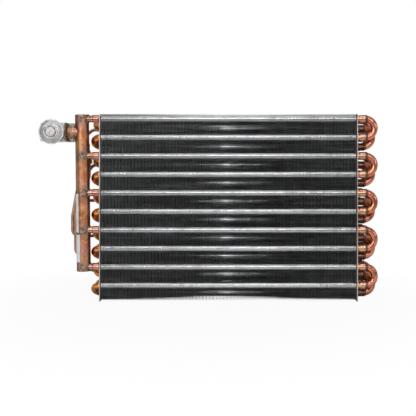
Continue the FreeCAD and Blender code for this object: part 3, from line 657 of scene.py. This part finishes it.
def bell_brazes():
    """The alloy in every belled tube end, on the right and in front of the header."""
    recipe = Recipe(
        "bell_brazes", RightMouth=BELL_MOUTH_X, LeftMouth=STUB_BELL_X, Ring=TUBE_RADIUS + 0.3 * MM,
        Bead=0.62 * MM, Lumps=0.9 * MM, Rows=ROWS, RowPitch=ROW_PITCH, StubRows=CIRCUITS,
    )
    size = recipe.size
    down, down_two = 0.0 - size("RowPitch"), size("RowPitch") * -2.0
    lines = [
        recipe.line(size("Rows"), (size("RightMouth"), column_y(column), row_z(1, column)),
                    (0.0, 0.0, down))
        for column in range(1, COLUMNS + 1)
    ]
    lines.append(recipe.line(
        size("StubRows"), (size("LeftMouth"), column_y(1), row_z(1, 1)), (0.0, 0.0, down_two)
    ))
    ring = braze_ring(recipe)
    joints = recipe.joined([recipe.repeated(line, ring) for line in lines])
    return recipe.plain_mesh(lumpy(recipe, joints), BRAZE)


def header_brazes():
    """The saddle of alloy round each stub where it enters the header."""
    top = row_z(1, 1)
    recipe = Recipe(
        "header_brazes", Ring=TUBE_RADIUS + 0.3 * MM, Bead=1.1 * MM, Lumps=1.4 * MM,
        HeaderRadius=HEADER_RADIUS - 0.2 * MM, Setback=column_y(1) - HEADER_CENTRE.y,
        StubRows=CIRCUITS, RowPitch=ROW_PITCH, Slope=HEADER_SLOPE, TopX=header_x(top),
    )
    size = recipe.size
    step = size("RowPitch") * 2.0
    stubs = recipe.line(
        size("StubRows"), (size("TopX"), column_y(1), top),
        (step * size("Slope"), 0.0, 0.0 - step),
    )
    joints = recipe.repeated(stubs, braze_ring(recipe, saddle=True))
    return recipe.plain_mesh(lumpy(recipe, joints), BRAZE)


BRAZE = braze_alloy()
fit(bell_brazes(), "brazed_copper")
fit(header_brazes(), "brazed_copper")
FIN_METAL = fin_aluminium()
COLLAR_METAL = collar_aluminium()
half = FIN_COUNT // 2
fit(fin_sheets("fins_left_half", 0, half), "aluminium_fins", "fin_pack")
fit(fin_sheets("fins_right_half", half, FIN_COUNT - half), "aluminium_fins", "fin_pack")
fit(fin_collars("fin_collars_front", 1), "aluminium_fins", "fin_pack")
fit(fin_collars("fin_collars_back", COLUMNS), "aluminium_fins", "fin_pack")
fit(inner_sleeves(), "aluminium_fins", "fin_pack")

# Finishes of the CAD nodes

straight = tube_copper("copper_tube", PINK, BROWN, belled=True)
hairpins = tube_copper("copper_hairpin", PINK, BROWN, belled=True, left=ORANGE)
bends = tube_copper("copper_bend", SALMON, BROWN, belled=True)
stubs = tube_copper("copper_stub", paint(186, 146, 124), UMBER)
pipe = tube_copper("copper_pipe", paint(196, 154, 134), UMBER, gloss=0.34)
thin_copper = tube_copper("copper_capillary", paint(186, 150, 132), paint(140, 108, 94), gloss=0.32)
brazed = bare_metal("brazed_copper", paint(156, 130, 112), paint(112, 88, 74), 0.4)
valve = bare_metal("valve_aluminium", paint(206, 205, 203), paint(176, 175, 172), 0.38)
flange = bare_metal("flange_steel", paint(120, 98, 84), paint(84, 68, 58), 0.4)
clamp = bare_metal("clamp_steel", paint(150, 146, 138), paint(112, 112, 106), 0.35)
zinc = bare_metal("zinc_steel", paint(250, 248, 245), paint(228, 226, 222), 0.34, 0.25)

dress(plate_aluminium(), "end_plate_left", "end_plate_right")
for number in range(1, CIRCUITS + 1):
    dress(straight, "suction_tube_%d" % number, "liquid_tube_%d" % number)
    dress(hairpins, *("hairpin_%s_%d" % (place, number) for place in ("front", "middle", "rear")))
    dress(bends, "return_bends_%d" % number)
    dress(stubs, "header_stub_%d" % number)
    dress(thin_copper, "capillary_%d" % number)
dress(header_copper(), "suction_header")
dress(brazed, "header_cap_top", "header_cap_bottom")
dress(pipe, "suction_pipe")
dress(thin_copper, "liquid_pipe")
dress(bare_metal("distributor_brass", BRASS, DULL_BRASS), "distributor")
dress(valve, "valve_block")
dress(spun_steel(), "power_head")
dress(bare_metal("cartridge_brass", BRASS, DULL_BRASS), "metering_cartridge")
dress(flange, "port_flange")
dress(clamp, "clamp_plate")
dress(zinc, "clamp_bolts", "clamp_sleeves")
dress(sealing_rubber(), "sealing_rings")
dress(blank_label(), "label_upper", "label_lower")

# Studio. Pixels are counted from the picture's top left corner, lengths are in metres, and
# the camera's scale is in pixels per metre at the front of the fins.

IMAGE_SIZE = 416
CAMERA_DISTANCE = 0.950
SCALE_AT_FRONT = 733.7
SENSOR = 36.0
NEAREST = 0.05
OPTICAL_X = PLATE_FACE_LEFT + 0.1622
OPTICAL_Z = pack_low.z + 0.1843
OPTICAL_PIXEL = (218, 165)
FLOOR_REACH = 6.0
LAMP_TARGET = (0.02, 0.0, 0.13)
LAMPS = {
    "key": {"place": (0.0, -1.5, 0.66), "width": 1.9, "height": 0.22, "power": 9.5},
    "top": {"place": (0.0, -0.7, 1.4), "width": 1.6, "height": 0.3, "power": 6},
    "front_fill": {"place": (-0.75, -1.5, 0.45), "width": 0.5, "height": 0.5, "power": 3},
    "right_fill": {"place": (1.4, -0.9, 0.5), "width": 0.3, "height": 0.3, "power": 2},
}


def camera():
    """A level camera, shifted so that its optical centre falls where the photo has it."""
    lens = bpy.data.cameras.new("camera")
    lens.sensor_width = SENSOR
    lens.lens = SCALE_AT_FRONT * CAMERA_DISTANCE / IMAGE_SIZE * SENSOR
    lens.shift_x = (IMAGE_SIZE / 2 - OPTICAL_PIXEL[0]) / IMAGE_SIZE
    lens.shift_y = (OPTICAL_PIXEL[1] - IMAGE_SIZE / 2) / IMAGE_SIZE
    lens.clip_start = NEAREST
    holder = new_object("camera", lens)
    holder.location = (OPTICAL_X, pack_low.y - CAMERA_DISTANCE, OPTICAL_Z)
    holder.rotation_euler = (math.pi / 2, 0, 0)
    bpy.context.scene.camera = holder


def lamp(name, place, width, height, power):
    """A rectangular lamp that points at the middle of the part."""
    light = bpy.data.lights.new(name, "AREA")
    light.shape = "RECTANGLE"
    light.size = width
    light.size_y = height
    light.energy = power
    holder = new_object(name, light)
    holder.location = place
    aim = Vector(LAMP_TARGET) - Vector(place)
    holder.rotation_euler = aim.to_track_quat("-Z", "Y").to_euler()


def seen_white(graph, reflected):
    """The camera's own rays, and the mirrored and refracted ones where reflected is 1."""
    mirrored = graph.ray("Is Glossy Ray")
    mirrored = mirrored.calculate("MAXIMUM", mirrored, graph.ray("Is Transmission Ray"))
    return graph.ray("Is Camera Ray"), mirrored * reflected


def world():
    """White behind the part, and a plain studio that is darker in front of it."""
    sky = bpy.data.worlds.new("studio")
    bpy.context.scene.world = sky
    sky.use_nodes = True
    graph = Graph(sky.node_tree)
    graph.tree.nodes.clear()
    direction = graph.node("ShaderNodeTexCoord", output="Generated")
    above = graph.part(direction, "Z").between(-0.1, 0.9)
    behind = graph.part(direction, "Y").between(0.45, 0.95)
    beside = graph.part(direction, "X").size().between(0.6, 1.0)
    room = 0.06 + above * 0.34 + behind * 0.15 + beside * 0.16
    direct, mirrored = seen_white(graph, behind)
    strength = room + direct.calculate("MAXIMUM", direct, mirrored) * (1.0 - room)
    background = graph.node("ShaderNodeBackground", None, {"Color": (1, 1, 1), "Strength": strength})
    output = graph.tree.nodes.new("ShaderNodeOutputWorld")
    graph.tree.links.new(background.socket, output.inputs["Surface"])


def floor():
    """A pale floor that looks white to the camera and keeps the part's soft shadow."""
    mesh = bpy.data.meshes.new("floor")
    corners = [(x * FLOOR_REACH, y * FLOOR_REACH, 0) for x, y in ((-1, -1), (1, -1), (1, 1), (-1, 1))]
    mesh.from_pydata(corners, [], [(0, 1, 2, 3)])
    ground = new_object("floor", mesh)
    finish = Finish("pale_floor")
    paper = finish.noise(6, 3)
    matt = finish.node("ShaderNodeBsdfDiffuse", None, {
        "Color": finish.mix(paint(196, 196, 196), paint(190, 190, 190), paper),
    })
    white = finish.node("ShaderNodeEmission", None, {"Color": (1, 1, 1), "Strength": 1.0})
    away = finish.node("ShaderNodeVectorMath", {"operation": "LENGTH"}, {0: finish.place}, "Value")
    shadowless = 0.94 + away.between(0.15, 0.45) * 0.06
    depth = finish.along("Y")
    front = depth.between(-0.30, -0.12) * depth.between(-0.025, -0.05)
    direct, mirrored = seen_white(finish, front + depth.between(0.06, 0.30))
    direct = direct * shadowless
    seen = direct.calculate("MAXIMUM", direct, mirrored)
    finish.end(finish.node("ShaderNodeMixShader", None, {0: seen, 1: matt, 2: white}))
    mesh.materials.append(finish.material)


camera()
world()
floor()
for lamp_name, settings in LAMPS.items():
    lamp(lamp_name, **settings)

bpy.context.scene.view_settings.view_transform = "Standard"
